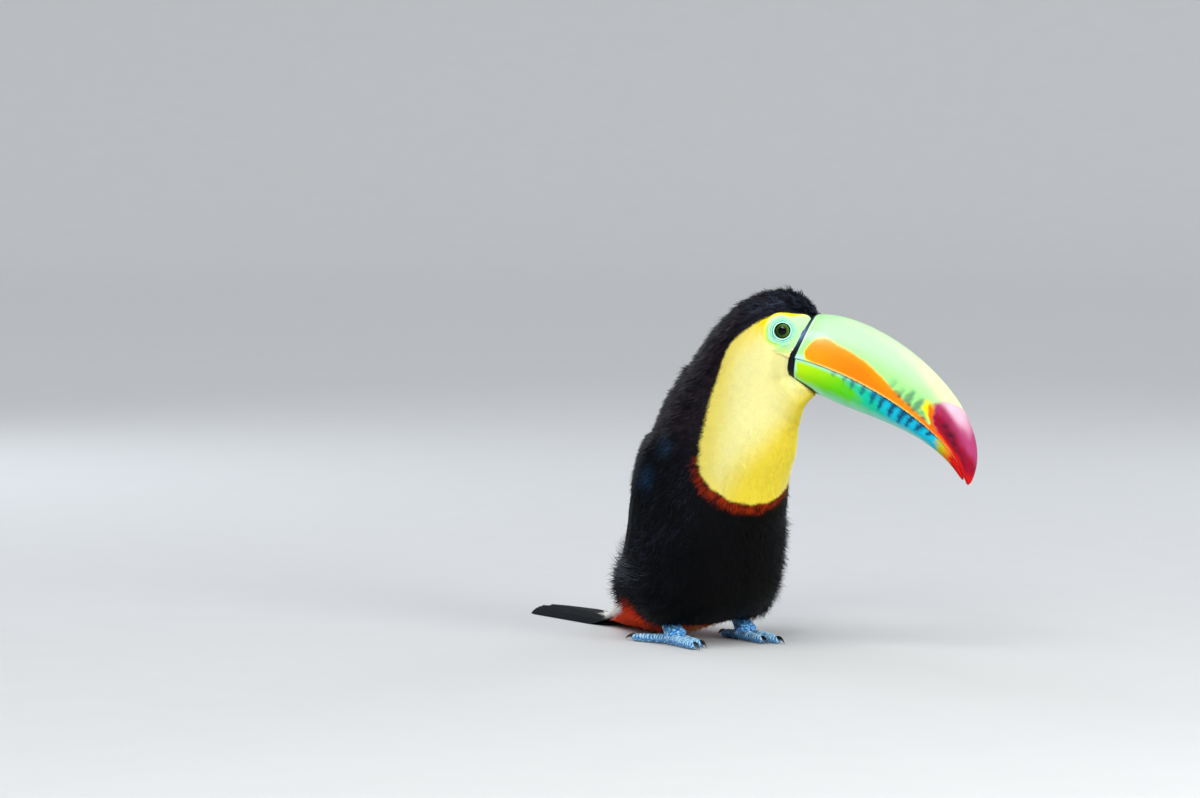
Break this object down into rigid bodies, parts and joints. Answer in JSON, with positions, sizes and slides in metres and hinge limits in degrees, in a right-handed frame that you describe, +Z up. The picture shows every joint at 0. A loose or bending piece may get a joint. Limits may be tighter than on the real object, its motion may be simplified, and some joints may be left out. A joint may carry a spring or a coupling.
{
  "type": "keel-billed toucan",
  "caption": "Life-size keel-billed toucan, standing with its head turned aside, its large curved bill lowered and its tail laid on the floor.",
  "frame": {"origin": "on the floor, under the middle of the whole bird's bounds", "axes": "+Z up; -Y is the way the trunk and toes face, +Y the way the tail runs, +X the bird's left, to which its head is turned"},
  "size_m": [0.16, 0.3166, 0.2116],
  "materials": {
    "face_plumage": "soft matte yellow feathers, black on the crown and nape",
    "black_plumage": "soft black feathers with a faint sheen",
    "flight_feathers": "smooth black vanes with a blue sheen",
    "upper_bill_horn": "polished keratin, pale green with orange, red tip",
    "lower_bill_horn": "polished keratin, green to blue, red tip",
    "eye": "wet cornea over a dark green iris",
    "foot_scale": "pale blue scaled skin",
    "claw_horn": "dark polished horn"
  },
  "bodies": {
    "root": {"head": "face_plumage", "neck": "face_plumage", "trunk": "black_plumage", "tail": "flight_feathers", "wing_right": "flight_feathers", "thigh_right": "black_plumage", "foot_right": "foot_scale", "eye_right": "eye", "claw_right_inner_front": "claw_horn", "claw_right_outer_front": "claw_horn", "claw_right_outer_rear": "claw_horn", "claw_right_inner_rear": "claw_horn", "wing_left": "flight_feathers", "thigh_left": "black_plumage", "foot_left": "foot_scale", "eye_left": "eye", "claw_left_inner_front": "claw_horn", "claw_left_outer_front": "claw_horn", "claw_left_outer_rear": "claw_horn", "claw_left_inner_rear": "claw_horn", "bill_upper": "upper_bill_horn", "bill_lower": "lower_bill_horn"}
  },
  "joints": []
}
